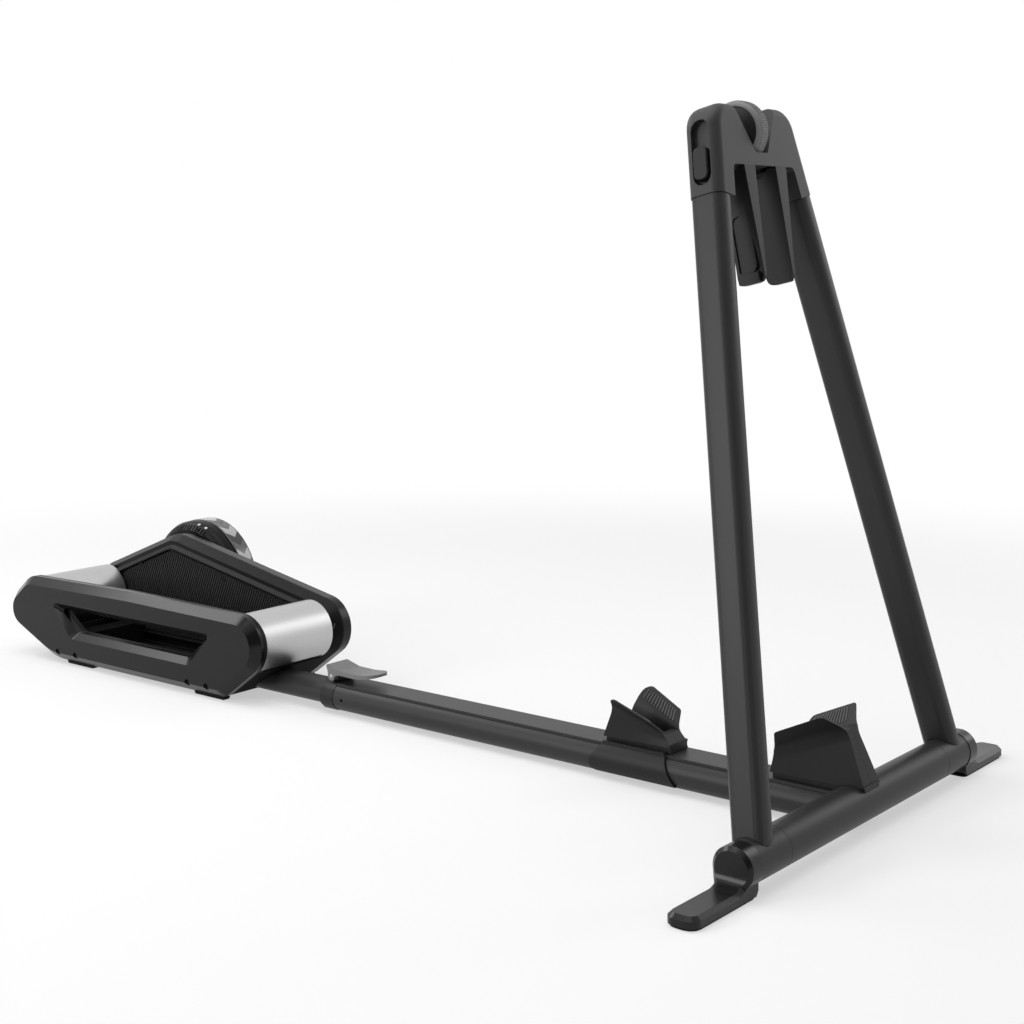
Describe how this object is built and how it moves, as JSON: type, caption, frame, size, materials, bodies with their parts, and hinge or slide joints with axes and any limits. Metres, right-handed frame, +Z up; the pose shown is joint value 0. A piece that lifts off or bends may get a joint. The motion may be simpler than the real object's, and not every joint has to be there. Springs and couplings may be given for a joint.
{
  "type": "bike rollers",
  "caption": "Bike rollers with a folding A-frame front wheel clamp, wheel chocks on a telescopic spine, and flywheel-driven drums between low housings.",
  "frame": {"origin": "middle of the footprint's bounding box, on the floor", "axes": "+Y from the front wheel's crossbar towards the rear wheel's drums, +X towards the flywheel, +Z up"},
  "size_m": [0.752, 1.6022, 0.843],
  "materials": {
    "charcoal_paint": "satin",
    "bright_steel": "satin",
    "gloss_moulding": "gloss",
    "rubber": "matte",
    "head_moulding": "satin",
    "dark_moulding": "satin",
    "grey_moulding": "satin",
    "satin_aluminium": "satin",
    "flywheel_iron": "gloss",
    "printed_band": "gloss",
    "clear_lens": "gloss"
  },
  "bodies": {
    "base": {"crossbar_tube": "charcoal_paint", "pivot_shaft": "bright_steel", "left_foot": "gloss_moulding", "right_foot": "gloss_moulding", "left_sole": "rubber", "right_sole": "rubber", "spine_tube": "charcoal_paint", "spine_collar": "dark_moulding", "lever_pin": "bright_steel", "front_chock_left": "dark_moulding", "front_chock_right": "dark_moulding"},
    "stand": {"left_hub": "charcoal_paint", "right_hub": "charcoal_paint", "left_leg": "charcoal_paint", "right_leg": "charcoal_paint", "head_casing": "head_moulding", "guide_rod": "bright_steel"},
    "dial": {"dial_rim": "grey_moulding", "dial_core": "dark_moulding", "lead_screw": "bright_steel"},
    "left_jaw": {"left_jaw_shoe": "head_moulding", "left_jaw_arm": "dark_moulding"},
    "right_jaw": {"right_jaw_shoe": "head_moulding", "right_jaw_arm": "dark_moulding"},
    "release": {"release_slider": "head_moulding"},
    "lever": {"cam_lever": "grey_moulding"},
    "rear_chock": {"rear_chock_left": "dark_moulding", "rear_chock_right": "dark_moulding"},
    "roller_unit": {"inner_tube": "charcoal_paint", "floor_pan": "dark_moulding", "side_housing_outer": "gloss_moulding", "side_housing_inner": "dark_moulding", "drive_housing_inner": "dark_moulding", "drive_housing_outer": "gloss_moulding", "power_inlet": "dark_moulding", "side_pad_front": "rubber", "side_pad_rear": "rubber", "drive_pad_front": "rubber", "drive_pad_rear": "rubber", "front_axle": "bright_steel", "rear_axle": "bright_steel", "flywheel_bearing": "bright_steel", "drive_belt": "rubber", "vent_cover": "dark_moulding", "status_lens": "clear_lens"},
    "front_drum": {"front_drum": "satin_aluminium", "front_cap_side": "dark_moulding", "front_cap_drive": "dark_moulding", "front_bearing_side": "bright_steel", "front_bearing_drive": "bright_steel", "front_pulley": "dark_moulding"},
    "rear_drum": {"rear_drum": "satin_aluminium", "rear_cap_side": "dark_moulding", "rear_cap_drive": "dark_moulding", "rear_bearing_side": "bright_steel", "rear_bearing_drive": "bright_steel", "rear_pulley": "dark_moulding"},
    "flywheel": {"flywheel": "flywheel_iron", "flywheel_band": "printed_band", "flywheel_shaft": "bright_steel"}
  },
  "joints": [
    {"name": "stand_fold", "type": "hinge", "parent": "base", "child": "stand", "pos_m": [0, -0.7759, 0.033], "axis": [-1, 0, 0], "range_deg": [0, 65]},
    {"name": "dial_spin", "type": "hinge", "parent": "stand", "child": "dial", "pos_m": [0, -0.60325, 0.80607], "axis": [1, 0, 0], "range_deg": [-240, 720]},
    {"name": "left_jaw_slide", "type": "slide", "parent": "stand", "child": "left_jaw", "axis": [1, 0, 0], "range_m": [-0.0041, 0.0121]},
    {"name": "right_jaw_slide", "type": "slide", "parent": "stand", "child": "right_jaw", "axis": [-1, 0, 0], "range_m": [-0.0041, 0.0121]},
    {"name": "release_slide", "type": "slide", "parent": "stand", "child": "release", "axis": [0.1977, 0.2088, 0.9578], "range_m": [0, 0.03]},
    {"name": "lever_hinge", "type": "hinge", "parent": "base", "child": "lever", "pos_m": [0, 0.0787, 0.0556], "axis": [-1, 0, 0], "range_deg": [0, 60]},
    {"name": "rear_chock_slide", "type": "slide", "parent": "base", "child": "rear_chock", "axis": [0, 1, 0], "range_m": [-0.06, 0.12]},
    {"name": "roller_slide", "type": "slide", "parent": "base", "child": "roller_unit", "axis": [0, 1, 0], "range_m": [-0.03, 0.15]},
    {"name": "flywheel_spin", "type": "hinge", "parent": "roller_unit", "child": "flywheel", "pos_m": [0.166, 0.5681, 0.1175], "axis": [1, 0, 0], "continuous": true},
    {"name": "front_drum_spin", "type": "hinge", "parent": "roller_unit", "child": "front_drum", "pos_m": [0, 0.2171, 0.092], "axis": [1, 0, 0], "continuous": true},
    {"name": "rear_drum_spin", "type": "hinge", "parent": "roller_unit", "child": "rear_drum", "pos_m": [0, 0.7321, 0.092], "axis": [1, 0, 0], "continuous": true}
  ],
  "couplings": [
    {"joint": "left_jaw_slide", "follows": "dial_spin", "m_per_rad": 0.00095493},
    {"joint": "right_jaw_slide", "follows": "dial_spin", "m_per_rad": 0.00095493},
    {"joint": "front_drum_spin", "follows": "flywheel_spin", "ratio": 0.56667},
    {"joint": "rear_drum_spin", "follows": "flywheel_spin", "ratio": 0.56667}
  ]
}
